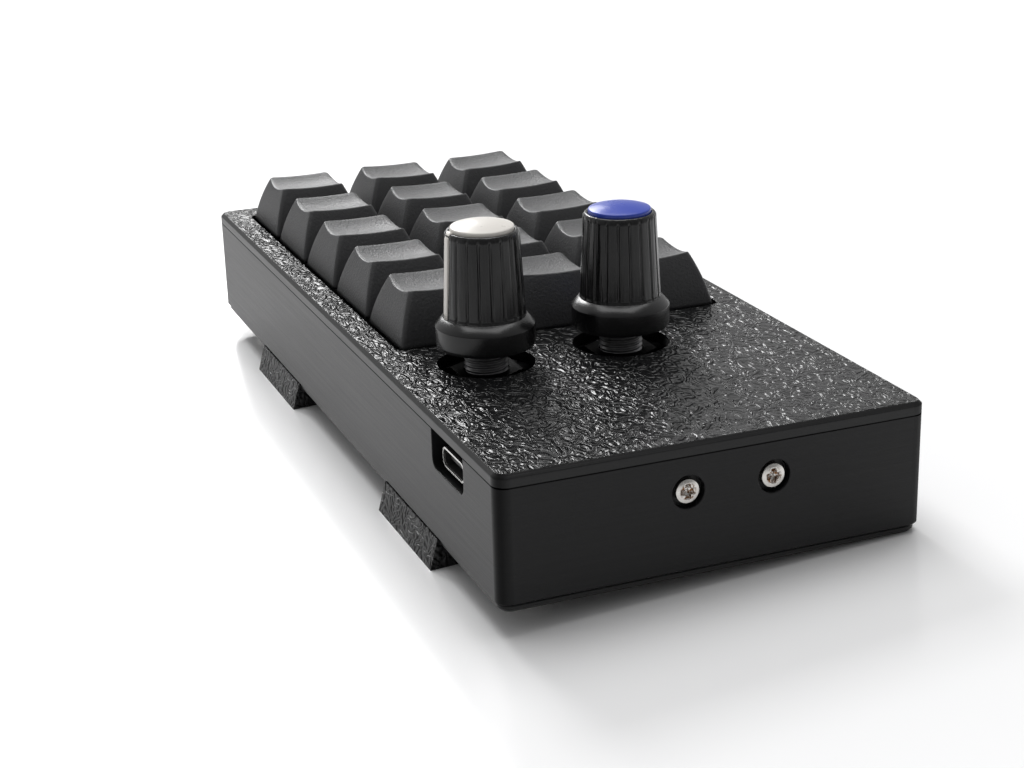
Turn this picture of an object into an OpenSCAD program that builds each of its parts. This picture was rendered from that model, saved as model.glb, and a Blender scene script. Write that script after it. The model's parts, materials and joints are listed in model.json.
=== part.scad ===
// Macro keypad with fifteen keys and two rotary knobs, in a printed case.
//
// The object stands on Z = 0 as it does on a desk. +X runs along the case from the knob end to the
// far key column, +Y points to the back, where the USB socket and the two feet are, and +Z is up.
// The case leans forward a little, because only its back edge has feet.
// Inside place_case() the case lies level: z = 0 is the lower edge of the body's walls.

/* [Case] */
// Length of the closed deck in front of the keys, which carries the knobs
deck_len = 55.35; // [50:0.05:70]
// Width of the rim between the keys and the long sides
side_rim = 4.9; // [4.5:0.1:9]
// Width of the rim between the keys and the far end
end_rim = 6.35; // [5.5:0.05:15]
// Height of the body's walls, up to the seam with the cover
wall_high = 17.6; // [16.5:0.1:20]
// Thickness of the body's walls
wall_t = 2.4; // [1.6:0.1:2.8]
// Radius of the four upright corners
corner_r = 2; // [1:0.25:4]
// Bevel along the lower edge of the walls
body_bevel = 0.5; // [0.2:0.1:1]

/* [Cover] */
// Thickness of the top cover
cover_t = 2; // [1.6:0.1:3]
// Bevel around the top edge of the cover
cover_bevel = 0.6; // [0.3:0.1:1]
// Thickness of the lip that locates the cover inside the walls
lip_t = 1.2; // [0.8:0.1:1.4]
// How far the lip reaches down
lip_drop = 2.6; // [1:0.1:3]
// Diameter of the clearance hole around each knob
knob_hole_d = 15.4; // [13:0.1:17]

/* [Bottom] */
// How far the bottom plate shows below the walls
plate_drop = 1; // [0.6:0.1:2]
// How far the bottom plate is set in from the walls' faces
plate_inset = 0.4; // [0.2:0.1:1]
// How far the bottom plate reaches up between the walls
plate_rise = 1.5; // [1:0.1:2]
// Height of each foot below the walls' lower edge, at the outside
foot_drop = 4.75; // [3:0.25:9]
// Length of each foot along the case
foot_len = 25; // [15:1:40]
// Depth of each foot, from its outer top edge inwards
foot_deep = 8; // [5:0.5:14]
// How far the outer face of a foot flares out on its way down
foot_flare = 1.3; // [0:0.1:2.5]
// Distance from the case's middle to the near foot's middle, towards the knobs
foot_near_x = 40.5; // [25:0.5:60]
// Distance from the case's middle to the far foot's middle, away from the knobs
foot_far_x = 35.3; // [25:0.5:60]

/* [Keys] */
// Distance between neighbouring key centres
key_pitch = 19.05; // [18:0.05:19.4]
// Gap between the skirts of neighbouring keycaps
cap_gap = 1.45; // [1.35:0.05:2.5]
// Width of the keycap top, along the case
cap_top_len = 10.9; // [9:0.1:13]
// Depth of the keycap top, from front to back
cap_top_wid = 11.8; // [10:0.1:14]
// Height of the keycap, from skirt to top corners
cap_high = 8.7; // [8:0.1:11]
// Wall thickness of the keycap
cap_wall = 1.2; // [0.8:0.1:1.4]
// Depth of the cylindrical dish in the keycap top
dish_deep = 0.7; // [0.2:0.05:1]
// Gap around the keys in the cover's window
window_gap = 0.75; // [0.5:0.05:2]
// Travel of a key
key_travel = 4; // [3:0.1:4]

/* [Knobs] */
// Distance from the knob axes to the key window
knob_gap = 10.85; // [9:0.05:14]
// Distance between the two knob axes
knob_pitch = 23; // [20:0.1:30]
// How far the middle between the knobs lies behind the case's middle line
knob_mid_y = 6.3; // [0:0.1:8]
// Diameter of the knob skirt
skirt_d = 15.6; // [13:0.1:18]
// Height of the straight part of the skirt
skirt_high = 3.3; // [2:0.1:6]
// Height of the bevel between skirt and barrel
skirt_bevel = 1.4; // [0.5:0.1:2.5]
// Diameter of the ribbed barrel where it meets the skirt
barrel_d = 12.9; // [11:0.1:14]
// Diameter of the ribbed barrel at its top
barrel_top_d = 11.5; // [11.2:0.1:13]
// Height of the ribbed barrel
barrel_high = 13.6; // [9:0.1:16]
// Number of grooves around the barrel
groove_count = 20; // [12:1:30]
// Diameter of the coloured cap in the top of the knob
knob_cap_d = 9.9; // [8:0.1:10.3]
// How far the coloured cap stands above the knob's rim
knob_cap_rise = 0.8; // [0.3:0.1:1.5]
// Width of the pointer that runs down the side of the knob
pointer_wid = 2; // [1:0.1:3]
// Travel of the push switch under each knob
push_travel = 0.5; // [0.3:0.05:0.8]

/* [Socket and end screws] */
// Distance from the knob end of the case to the middle of the USB socket
usb_start = 19.55; // [14:0.1:24]
// Length of the cut-out around the USB socket
usb_cut_len = 13.2; // [11:0.1:16]
// Height of the cut-out's lower edge above the walls' lower edge
usb_cut_low = 11.6; // [10:0.1:12.2]
// Distance from the body's face to the mouth of the USB socket
usb_recess = 0.9; // [0.3:0.1:2]
// Distance between the two screws in the end wall
end_screw_pitch = 13.5; // [9:0.1:30]
// How far the middle between the end screws lies in front of the case's middle line
end_screw_mid = 1.8; // [0:0.1:4]
// Height of the end screws above the walls' lower edge
end_screw_z = 12.3; // [11:0.1:13]

/* [Hidden] */
row_names = ["back", "middle", "front"];
column_count = 5;
row_count = len(row_names);
key_places = [for (r = [0:row_count - 1]) for (c = [0:column_count - 1]) [r, c]];
function key_name(piece, place) = str(piece, "_", row_names[place[0]], "_", place[1] + 1);

$fn = 64;
// Overrun of a cut past the face it opens
over = 0.5;
// Clearance between printed pieces that fit together
fit = 0.15;
// Clearance between small moulded or turned pieces that fit together
small_fit = 0.05;
// Thickness of a thin slice that a hull starts or ends on
slice = 0.01;
// Smoothness of a hull's children
hull_fn = 24;

// Screws and threaded inserts, all M2
thread_d = 2;
thread_hole_d = 2.3;
pan_head_d = 4;
pan_head_high = 1.6;
pan_dome = 0.6;
recess_reach = 2;
recess_t = 0.5;
recess_deep = 0.8;
recess_dish_d = 2.4;
recess_dish_floor_d = 1.2;
recess_dish_deep = 0.45;
pan_screw_len = 6;
flat_head_d = 3.8;
flat_head_high = 0.9;
flat_screw_len = 4;
insert_d = 3.2;
insert_len = 3;
boss_d = 6;
head_hole_d = 5.1;

// Switch: a plate-mounted key switch with a crossed stem
switch_d_hole = 14;
switch_body = 13.9;
switch_flange = 15.6;
switch_flange_t = 0.8;
switch_plate_rise = 5;
switch_top_high = 11.6;
switch_top_base = 14;
switch_top_len = 10.2;
switch_top_wid = 10.4;
switch_floor = 0.9;
switch_pole_d = 3.9;
switch_pole_len = 3;
plate_t = 1.5;
stem_len = 7.2;
stem_wid = 5.6;
stem_fit = 0.15;
stem_top = 15.2;
cross_reach = 4;
cross_t = 1.2;
cross_base = 11.5;
spring_d = 4.2;
spring_wire = 0.4;
spring_post_d = 3;
spring_post_high = 2.6;
spring_bore_d = 4.6;
spring_high = 9.1;
socket_d = 5.6;
socket_fit = 0.03;
skirt_rise = 10.1;
cap_ceiling = 1.25;
cap_corner_base_r = 1;
cap_corner_top_r = 1.6;
row_tilt = [1, 2, -2];
// Heights of the keycap's sections, and the straight part of its taper, as shares
cap_section_shares = [0, 0.2, 0.4, 0.6, 0.8, 1];
cap_straight_share = 0.55;

// Boards
board_t = 1.6;
board_gap = 0.4;
board_margin = 5.5;
board_rise = 9.2;
pole_fit = 0.1;
plate_margin = 2.4;
plate_screw_near = 1.9;
plate_screw_far = 2.6;
plate_screw_inset = 2.9;
window_r = 1.5;
controller_len = 18;
controller_deep = 33;
header_wid = 2.5;
header_high = 1.65;
chip_size = 7;
chip_high = 0.9;
small_chip_len = 3;
small_chip_wid = 1.6;
small_chip_high = 1.1;
usb_shell_len = 8.94;
usb_shell_high = 3.16;
usb_shell_deep = 7.3;
usb_shell_t = 0.3;
usb_shell_r = 1.3;
usb_tongue_len = 6.7;
usb_tongue_t = 0.7;
usb_tongue_back = 2;
usb_tongue_recess = 0.9;
usb_cut_r = 1.6;

// Encoder with push switch
encoder_size = 11.7;
encoder_base_high = 4.8;
encoder_top_t = 2.15;
encoder_floor = 1.4;
bushing_d = 7;
bushing_high = 7;
shaft_d = 6;
shaft_bore_d = 6.1;
shaft_flat = 1.5;
shaft_above_bushing = 10.5;
stem_d = 3.5;
stem_flat = 0.7;
rotor_d = 8.6;
rotor_high = 2;
chamber_d = 9.4;
collar_d = 8;
collar_high = 0.6;
washer_d = 11.5;
washer_t = 0.5;
nut_across = 10;
nut_high = 2;

// Knob
knob_lift = 3.1;
knob_recess_d = 11;
knob_recess_high = 1.9;
cap_seat_high = 1.4;
cap_dome_share = 0.55;
groove_d = 0.9;
groove_deep = 0.35;
rim_bevel = 0.4;
skirt_round = 0.4;
pointer_deep = 0.5;
pointer_proud = 0.15;

// Cover fastening: two tabs' worth of block at the knob end, two hooks at the far end
pad_t = 1.4;
pad_wid = 26;
head_hole_deep = 1.4;
tab_t = 4.5;
tab_wid = 20;
tab_low = 9.6;
hook_reach = 1;
hook_high = 1.5;
hook_len = 8;
hook_spread = 20;
ledge_reach = 2.2;
ledge_high = 2;
ledge_boss_high = 3.2;
corner_boss_inset = 3.4;

// Derived places inside the case. Case y runs to the back, case x away from the knob end.
cap_base = key_pitch - cap_gap;
window_len = (column_count - 1) * key_pitch + cap_base + 2 * window_gap;
window_wid = (row_count - 1) * key_pitch + cap_base + 2 * window_gap;
case_len = deck_len + window_len + end_rim;
case_wid = window_wid + 2 * side_rim;
cover_top = wall_high + cover_t;
inner_len = case_len - 2 * wall_t;
inner_wid = case_wid - 2 * wall_t;
board_low = board_rise - board_t;
plate_top = board_rise + switch_plate_rise;
plate_low = plate_top - plate_t;
cap_low = board_rise + skirt_rise;
ring_low = board_rise + encoder_base_high;
encoder_top = ring_low + encoder_top_t;
bushing_top = encoder_top + bushing_high;
nut_low = encoder_top + washer_t;
knob_low = cover_top + knob_lift;
knob_high = skirt_high + skirt_bevel + barrel_high;
controller_low = board_rise + header_high;
controller_top = controller_low + board_t;
shaft_top = bushing_top + shaft_above_bushing;

function end_x(from_end) = from_end - case_len / 2;
function key_x(c) = end_x(deck_len + window_gap + cap_base / 2) + c * key_pitch;
function key_y(r) = ((row_count - 1) / 2 - r) * key_pitch;
function knob_y(k) = knob_mid_y + (1 / 2 - k) * knob_pitch;
knob_x = end_x(deck_len - knob_gap);
usb_x = end_x(usb_start);
usb_y = case_wid / 2 - usb_recess;
window_x = key_x((column_count - 1) / 2);
plate_near = window_x - window_len / 2 - plate_margin;
plate_far = case_len / 2 - wall_t - board_gap;
plate_screw_x = [plate_near + plate_screw_near, plate_far - plate_screw_far];
plate_screw_y = inner_wid / 2 - plate_screw_inset;
corner_boss_x = inner_len / 2 - corner_boss_inset;
corner_boss_y = inner_wid / 2 - corner_boss_inset;

// The lean of the case: the front edge of the bottom plate and the feet's soles share one floor
front_edge_y = case_wid / 2 - plate_inset - body_bevel;
sole_edge_y = case_wid / 2 + foot_flare;
tilt = atan2(foot_drop - plate_drop, front_edge_y + sole_edge_y);
lift = front_edge_y * sin(tilt) + plate_drop * cos(tilt);
back_reach = sole_edge_y * cos(tilt) + foot_drop * sin(tilt);
front_reach = case_wid / 2 * cos(tilt) + (cover_top - cover_bevel) * sin(tilt);
centre_y = (front_reach - back_reach) / 2;

module place_case() {
    translate([0, centre_y, lift]) rotate([tilt, 0, 0]) children();
}

// Plan with four round corners, built from exact pieces
module rounded_plan(len, wid, r) {
    square([len - 2 * r, wid], center = true);
    square([len, wid - 2 * r], center = true);
    for (x = [-1, 1], y = [-1, 1])
        translate([x * (len / 2 - r), y * (wid / 2 - r)]) circle(r);
}

module rounded_slab(len, wid, r, high) {
    linear_extrude(high) rounded_plan(len, wid, r);
}

// A layer whose edges draw in by the bevel on the way up
module bevel_layer(len, wid, r, bevel) {
    half_wid = wid / 2;
    half_len = len / 2;
    rotate([90, 0, 90])
        linear_extrude(len - 2 * r, center = true)
            polygon([[-half_wid, 0], [half_wid, 0], [half_wid - bevel, bevel], [bevel - half_wid, bevel]]);
    rotate([90, 0, 0])
        linear_extrude(wid - 2 * r, center = true)
            polygon([[-half_len, 0], [half_len, 0], [half_len - bevel, bevel], [bevel - half_len, bevel]]);
    for (x = [-1, 1], y = [-1, 1])
        translate([x * (half_len - r), y * (half_wid - r), 0]) cylinder(h = bevel, r1 = r, r2 = r - bevel);
}

module at_keys() {
    for (place = key_places)
        translate([key_x(place[1]), key_y(place[0]), board_rise]) children();
}

module at_knobs() {
    for (k = [0, 1]) translate([knob_x, knob_y(k), 0]) children();
}

module at_end_screws() {
    for (side = [-1, 1])
        translate([-case_len / 2, side * end_screw_pitch / 2 - end_screw_mid, end_screw_z])
            rotate([0, 90, 0]) children();
}

module at_plate_screws() {
    for (x = plate_screw_x, y = [-1, 1]) translate([x, y * plate_screw_y, plate_top]) children();
}

module at_corner_bosses() {
    for (x = [-1, 1], y = [-1, 1]) translate([x * corner_boss_x, y * corner_boss_y, 0]) children();
}

// Body: a ring of walls with ledges and bosses inside
module case_body() color([0.12, 0.12, 0.13]) place_case() difference() {
    union() {
        difference() {
            union() {
                translate([0, 0, body_bevel])
                    rounded_slab(case_len, case_wid, corner_r, wall_high - body_bevel);
                translate([0, 0, body_bevel])
                    mirror([0, 0, 1]) bevel_layer(case_len, case_wid, corner_r, body_bevel);
            }
            translate([0, 0, -over])
                rounded_slab(inner_len, inner_wid, corner_r / 2, wall_high + 2 * over);
        }
        wall_ledges();
        wall_bosses();
        translate([-inner_len / 2 - over, -end_screw_mid - pad_wid / 2, tab_low])
            cube([pad_t + over, pad_wid, wall_high - lip_drop - fit - tab_low]);
    }
    at_end_screws() {
        translate([0, 0, -over]) cylinder(h = head_hole_deep + over, d = head_hole_d);
        cylinder(h = wall_t + pad_t + over, d = thread_hole_d);
    }
    usb_cut_out();
    hook_slots();
    at_plate_screws()
        translate([0, 0, -plate_t - insert_len]) cylinder(h = insert_len + over, d = insert_d);
    at_corner_bosses()
        translate([0, 0, plate_rise - over]) cylinder(h = insert_len + over, d = insert_d);
}

// Ledges along the long walls that carry the switch plate
module wall_ledges() {
    ledge_len = plate_far - plate_near;
    for (side = [-1, 1])
        translate([plate_near, side > 0 ? inner_wid / 2 - ledge_reach : -inner_wid / 2 - over, plate_low - ledge_high])
            cube([ledge_len, ledge_reach + over, ledge_high]);
}

// Bosses under the switch plate's screws, and corner bosses that carry the board
module wall_bosses() {
    boss_reach = inner_wid / 2 + over - plate_screw_y;
    for (x = plate_screw_x, side = [-1, 1])
        translate([x, side * plate_screw_y, plate_low - ledge_boss_high]) {
            cylinder(h = ledge_boss_high, d = boss_d);
            translate([-boss_d / 2, side > 0 ? 0 : -boss_reach, 0])
                cube([boss_d, boss_reach, ledge_boss_high]);
        }
    corner_reach = corner_boss_inset + over;
    for (x = [-1, 1], y = [-1, 1])
        translate([x * corner_boss_x, y * corner_boss_y, plate_rise]) {
            cylinder(h = board_low - plate_rise, d = boss_d);
            translate([x > 0 ? 0 : -corner_reach, y > 0 ? 0 : -corner_reach, 0])
                cube([corner_reach, corner_reach, board_low - plate_rise]);
        }
}

// Opening in the back wall for the USB socket, open up to the cover
module usb_cut_out() {
    translate([usb_x, case_wid / 2 + over, usb_cut_low])
        rotate([90, 0, 0]) linear_extrude(wall_t + 2 * over) {
            translate([-usb_cut_len / 2, usb_cut_r])
                square([usb_cut_len, wall_high - usb_cut_low - usb_cut_r + over]);
            translate([usb_cut_r - usb_cut_len / 2, 0]) square([usb_cut_len - 2 * usb_cut_r, usb_cut_r]);
            for (side = [-1, 1])
                translate([side * (usb_cut_len / 2 - usb_cut_r), usb_cut_r]) circle(usb_cut_r);
        }
}

// Blind slots in the far wall that the cover's hooks reach into
module hook_slots() {
    for (side = [-1, 1])
        translate([inner_len / 2 - over, side * hook_spread - hook_len / 2 - fit, wall_high - lip_drop - fit])
            cube([over + hook_reach + fit, hook_len + 2 * fit, hook_high + 2 * fit]);
}

// Bottom plate: a bevelled flange below the walls and a raised middle between them
module bottom_plate() color([0.1, 0.1, 0.11]) place_case() difference() {
    union() {
        flange_len = case_len - 2 * plate_inset;
        flange_wid = case_wid - 2 * plate_inset;
        mirror([0, 0, 1]) {
            rounded_slab(flange_len, flange_wid, corner_r, plate_drop - body_bevel);
            translate([0, 0, plate_drop - body_bevel])
                bevel_layer(flange_len, flange_wid, corner_r, body_bevel);
        }
        rounded_slab(inner_len - 2 * fit, inner_wid - 2 * fit, corner_r / 2, plate_rise);
    }
    at_corner_bosses() {
        translate([0, 0, -plate_drop - over]) cylinder(h = plate_drop + plate_rise + 2 * over, d = thread_hole_d);
        translate([0, 0, -plate_drop]) flat_head_space();
    }
}

// Countersink for a flat-head screw whose head faces down
module flat_head_space() {
    cylinder(h = flat_head_high, d1 = flat_head_d + 2 * small_fit, d2 = thread_d + 2 * small_fit);
    translate([0, 0, -over]) cylinder(h = over, d = flat_head_d + 2 * small_fit);
}

// Foot: a wedge that seats on the wall's lower edge and on the bottom plate, with its sole level
module foot(x) color([0.1, 0.1, 0.11]) place_case() {
    outer_y = case_wid / 2;
    inner_y = outer_y - foot_deep;
    sole_rise = (foot_flare + foot_deep) * tan(tilt);
    step_y = outer_y - plate_inset - body_bevel;
    translate([x - foot_len / 2, 0, 0]) rotate([90, 0, 90]) linear_extrude(foot_len) polygon([
        [outer_y - plate_inset, 0],
        [outer_y, 0],
        [outer_y + foot_flare, -foot_drop],
        [inner_y, sole_rise - foot_drop],
        [inner_y, -plate_drop],
        [step_y, -plate_drop],
        [step_y + body_bevel, body_bevel - plate_drop]
    ]);
}
module foot_near() foot(-foot_near_x);
module foot_far() foot(foot_far_x);

// Top cover: a bevelled slab with the key window, the knob holes, a lip, a screw block and hooks
module top_cover() color([0.14, 0.14, 0.15]) place_case() difference() {
    union() {
        translate([0, 0, wall_high]) rounded_slab(case_len, case_wid, corner_r, cover_t - cover_bevel);
        translate([0, 0, cover_top - cover_bevel]) bevel_layer(case_len, case_wid, corner_r, cover_bevel);
        cover_lip();
        translate([-inner_len / 2 + pad_t + fit, -end_screw_mid - tab_wid / 2, tab_low])
            cube([tab_t, tab_wid, wall_high + over - tab_low]);
        for (side = [-1, 1])
            translate([inner_len / 2 - lip_t, side * hook_spread - hook_len / 2, wall_high - lip_drop])
                cube([lip_t + hook_reach, hook_len, hook_high]);
    }
    translate([window_x, 0, wall_high - lip_drop - over])
        rounded_slab(window_len, window_wid, window_r, cover_t + lip_drop + 2 * over);
    at_knobs() translate([0, 0, wall_high - over]) cylinder(h = cover_t + 2 * over, d = knob_hole_d);
    at_end_screws() translate([0, 0, wall_t + pad_t]) cylinder(h = tab_t + fit + over, d = thread_hole_d);
    at_end_screws() translate([0, 0, wall_t + pad_t]) cylinder(h = insert_len + fit, d = insert_d);
}

// Lip under the cover, open where the USB socket and the screw pad are
module cover_lip() {
    translate([0, 0, wall_high - lip_drop]) difference() {
        rounded_slab(inner_len - 2 * fit, inner_wid - 2 * fit, corner_r / 2, lip_drop + over);
        translate([0, 0, -over])
            rounded_slab(inner_len - 2 * fit - 2 * lip_t, inner_wid - 2 * fit - 2 * lip_t, corner_r / 2, lip_drop + over);
        translate([usb_x - usb_cut_len / 2, 0, -over]) cube([usb_cut_len, case_wid, lip_drop + over]);
    }
}

// Plate that the switches clip into
module switch_plate() color([0.16, 0.16, 0.17]) place_case() difference() {
    translate([plate_near, -inner_wid / 2 + board_gap, plate_low])
        cube([plate_far - plate_near, inner_wid - 2 * board_gap, plate_t]);
    at_keys() translate([0, 0, switch_plate_rise - plate_t - over])
        linear_extrude(plate_t + 2 * over) square(switch_d_hole, center = true);
    at_plate_screws() translate([0, 0, -plate_t - over]) cylinder(h = plate_t + 2 * over, d = thread_hole_d);
    at_plate_screws() mirror([0, 0, 1]) flat_head_space();
}

// Board that the switches and the encoders are soldered to
module circuit_board() color([0.05, 0.2, 0.12]) place_case() difference() {
    board_near = end_x(board_margin);
    board_wid = inner_wid - 2 * ledge_reach - 2 * board_gap;
    translate([board_near, -board_wid / 2, board_low])
        cube([case_len / 2 - board_margin - board_near, board_wid, board_t]);
    at_keys() translate([0, 0, -board_t - over])
        cylinder(h = board_t + 2 * over, d = switch_pole_d + 2 * pole_fit);
    for (x = plate_screw_x, y = [-1, 1])
        translate([x, y * plate_screw_y, board_low - over]) cylinder(h = board_t + 2 * over, d = boss_d + 2 * board_gap);
}

// Controller board, standing on its two header strips
module controller_board() color([0.06, 0.07, 0.1]) place_case()
    translate([usb_x - controller_len / 2, case_wid / 2 - wall_t - board_gap - controller_deep, controller_low])
        cube([controller_len, controller_deep, board_t]);

module controller_chips() color([0.08, 0.08, 0.08]) place_case()
    translate([usb_x, case_wid / 2 - wall_t - controller_deep / 2, controller_top]) {
        translate([-chip_size / 2, -chip_size / 2, 0]) cube([chip_size, chip_size, chip_high]);
        for (side = [-1, 1])
            translate([side * chip_size / 2 - small_chip_wid / 2, -chip_size - small_chip_len, 0])
                cube([small_chip_wid, small_chip_len, small_chip_high]);
    }

module header_strips() color([0.1, 0.1, 0.1]) place_case()
    for (side = [-1, 1])
        translate([
            usb_x + side * (controller_len - header_wid) / 2 - header_wid / 2,
            case_wid / 2 - wall_t - board_gap - controller_deep,
            board_rise
        ]) cube([header_wid, controller_deep, header_high]);

// Mouth of the USB socket, drawn in the plane that faces the back
module usb_outline(inset) {
    len = usb_shell_len - 2 * inset;
    high = usb_shell_high - 2 * inset;
    rounded_plan(len, high, usb_shell_r - inset);
}

module usb_shell() color([0.75, 0.75, 0.76]) place_case()
    translate([usb_x, usb_y, controller_top + usb_shell_high / 2]) rotate([90, 0, 0]) difference() {
        linear_extrude(usb_shell_deep) usb_outline(0);
        translate([0, 0, -over]) linear_extrude(usb_shell_deep + 2 * over) usb_outline(usb_shell_t);
    }

module usb_tongue() color([0.08, 0.08, 0.09]) place_case()
    translate([usb_x, usb_y - usb_shell_deep, controller_top + usb_shell_high / 2]) rotate([-90, 0, 0]) {
        linear_extrude(usb_tongue_back) usb_outline(usb_shell_t + small_fit);
        linear_extrude(usb_shell_deep - usb_tongue_recess)
            square([usb_tongue_len, usb_tongue_t], center = true);
    }

// Pan-head screw that points along z: a domed head with a crossed recess, and the shank
module pan_screw() {
    head_r = pan_head_d / 2;
    dome_r = (pow(head_r, 2) + pow(pan_dome, 2)) / (2 * pan_dome);
    difference() {
        translate([0, 0, head_hole_deep - pan_head_high]) intersection() {
            cylinder(h = pan_head_high, d = pan_head_d);
            translate([0, 0, dome_r]) sphere(dome_r);
        }
        translate([0, 0, head_hole_deep - pan_head_high - over])
            cross(recess_reach, recess_t, recess_deep + over);
        translate([0, 0, head_hole_deep - pan_head_high])
            cylinder(h = recess_dish_deep, d1 = recess_dish_d, d2 = recess_dish_floor_d);
    }
    translate([0, 0, head_hole_deep]) cylinder(h = pan_screw_len, d = thread_d);
}

module end_screws() color([0.75, 0.75, 0.76]) place_case() at_end_screws() pan_screw();

module flat_screw() {
    cylinder(h = flat_head_high, d1 = flat_head_d, d2 = thread_d);
    cylinder(h = flat_screw_len, d = thread_d);
}

module flat_screws() color([0.7, 0.7, 0.72]) place_case() {
    at_plate_screws() mirror([0, 0, 1]) flat_screw();
    at_corner_bosses() translate([0, 0, -plate_drop]) flat_screw();
}

module threaded_insert() {
    difference() {
        cylinder(h = insert_len, d = insert_d);
        translate([0, 0, -over]) cylinder(h = insert_len + 2 * over, d = thread_d);
    }
}

module threaded_inserts() color([0.8, 0.65, 0.3]) place_case() {
    at_plate_screws() translate([0, 0, -plate_t - insert_len]) threaded_insert();
    at_corner_bosses() translate([0, 0, plate_rise]) threaded_insert();
    at_end_screws() translate([0, 0, wall_t + pad_t + fit]) threaded_insert();
}

// Well in a switch housing that the stem slides in
module stem_well(high) {
    translate([0, 0, high / 2]) cube([stem_len + 2 * stem_fit, stem_wid + 2 * stem_fit, high], center = true);
}

module switch_bases() color([0.08, 0.08, 0.08]) place_case() at_keys() {
    difference() {
        union() {
            translate([-switch_body / 2, -switch_body / 2, 0]) cube([switch_body, switch_body, switch_plate_rise]);
            translate([-switch_flange / 2, -switch_flange / 2, switch_plate_rise])
                cube([switch_flange, switch_flange, switch_flange_t]);
        }
        translate([0, 0, switch_floor]) stem_well(switch_plate_rise + over);
    }
    translate([0, 0, switch_floor]) cylinder(h = spring_post_high, d = spring_post_d);
    translate([0, 0, -switch_pole_len]) cylinder(h = switch_pole_len, d = switch_pole_d);
}

// Upper housing: a block that narrows in both directions on the way up
module switch_tops() color([0.12, 0.12, 0.12]) place_case() at_keys() {
    low = switch_plate_rise + switch_flange_t;
    high = switch_top_high - low;
    translate([0, 0, low]) difference() {
        intersection() {
            tapered_bar(switch_top_base, switch_top_len, switch_top_base, high);
            rotate([0, 0, 90]) tapered_bar(switch_top_base, switch_top_wid, switch_top_base, high);
        }
        translate([0, 0, -over]) stem_well(high + 2 * over);
    }
}

// A bar along y whose width shrinks from the base to the top
module tapered_bar(base, top, len, high) {
    rotate([90, 0, 0]) linear_extrude(len, center = true)
        polygon([[-base / 2, 0], [base / 2, 0], [top / 2, high], [-top / 2, high]]);
}

module key_springs() color([0.7, 0.7, 0.72]) place_case() at_keys()
    translate([0, 0, switch_floor]) difference() {
        cylinder(h = spring_high, d = spring_d);
        translate([0, 0, -over]) cylinder(h = spring_high + 2 * over, d = spring_d - 2 * spring_wire);
    }

module at_key(place) {
    translate([key_x(place[1]), key_y(place[0]), board_rise]) children();
}

module cross(reach, thick, high) {
    translate([0, 0, high / 2]) {
        cube([reach, thick, high], center = true);
        cube([thick, reach, high], center = true);
    }
}

// Stem: a hollow slider with the crossed post that carries the keycap
module stem(place) color([0.5, 0.3, 0.2]) place_case() at_key(place) {
    slider_low = switch_floor + key_travel + small_fit;
    difference() {
        translate([-stem_len / 2, -stem_wid / 2, slider_low]) cube([stem_len, stem_wid, cross_base - slider_low]);
        translate([0, 0, slider_low - over])
            cylinder(h = switch_floor + spring_high + over - slider_low, d = spring_bore_d);
    }
    translate([0, 0, cross_base]) cross(cross_reach, cross_t, stem_top - cross_base);
}

// One section of the keycap's outside or inside
module cap_section(len, wid, r, rise, turn) {
    translate([0, 0, rise]) rotate([turn, 0, 0]) for (x = [-1, 1], y = [-1, 1])
        translate([x * (len / 2 - r), y * (wid / 2 - r), -slice])
            cylinder(h = slice, r = r, $fn = hull_fn);
}

// Outside of the keycap, with sides that bulge a little and a top that leans by row
module cap_solid(turn) {
    hull() for (share = cap_section_shares) {
        inset = cap_straight_share * share + (1 - cap_straight_share) * pow(share, 2);
        cap_section(
            cap_base + inset * (cap_top_len - cap_base),
            cap_base + inset * (cap_top_wid - cap_base),
            cap_corner_base_r + inset * (cap_corner_top_r - cap_corner_base_r),
            share * cap_high + slice,
            share * turn
        );
    }
}

// Hollow of the keycap, a plain taper
module cap_hollow() {
    high = cap_high - dish_deep - cap_ceiling;
    share = high / cap_high;
    intersection() {
        tapered_bar(cap_base - 2 * cap_wall, cap_base - 2 * cap_wall - share * (cap_base - cap_top_len), cap_base, high);
        rotate([0, 0, 90])
            tapered_bar(cap_base - 2 * cap_wall, cap_base - 2 * cap_wall - share * (cap_base - cap_top_wid), cap_base, high);
    }
}

// Keycap: dished on top, hollow below, with a round socket for the stem's cross
module keycap(place) color([0.2, 0.2, 0.21]) place_case() at_key(place) translate([0, 0, skirt_rise]) {
    turn = row_tilt[place[0]];
    dish_r = (pow(cap_top_len / 2, 2) + pow(dish_deep, 2)) / (2 * dish_deep);
    ceiling = cap_high - dish_deep - cap_ceiling;
    socket_low = switch_top_high - skirt_rise;
    difference() {
        cap_solid(turn);
        translate([0, 0, cap_high]) rotate([90 + turn, 0, 0]) translate([0, dish_r - dish_deep, 0])
            cylinder(h = cap_base + over, r = dish_r, center = true);
        difference() {
            translate([0, 0, -slice]) cap_hollow();
            translate([0, 0, socket_low]) cylinder(h = ceiling, d = socket_d);
        }
        translate([0, 0, socket_low - over])
            cross(cross_reach + 2 * socket_fit, cross_t + 2 * socket_fit, stem_top - skirt_rise - socket_low + over + socket_fit);
    }
}

// Encoder: moulded base with the rotor's chamber
module encoder_bases() color([0.1, 0.1, 0.1]) place_case() at_knobs() translate([0, 0, board_rise]) difference() {
    translate([-encoder_size / 2, -encoder_size / 2, 0]) cube([encoder_size, encoder_size, encoder_base_high]);
    translate([0, 0, encoder_floor]) cylinder(h = encoder_base_high, d = chamber_d);
    translate([0, 0, encoder_floor - push_travel - 2 * small_fit])
        cylinder(h = encoder_floor, d = stem_d + 2 * stem_fit);
}

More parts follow.
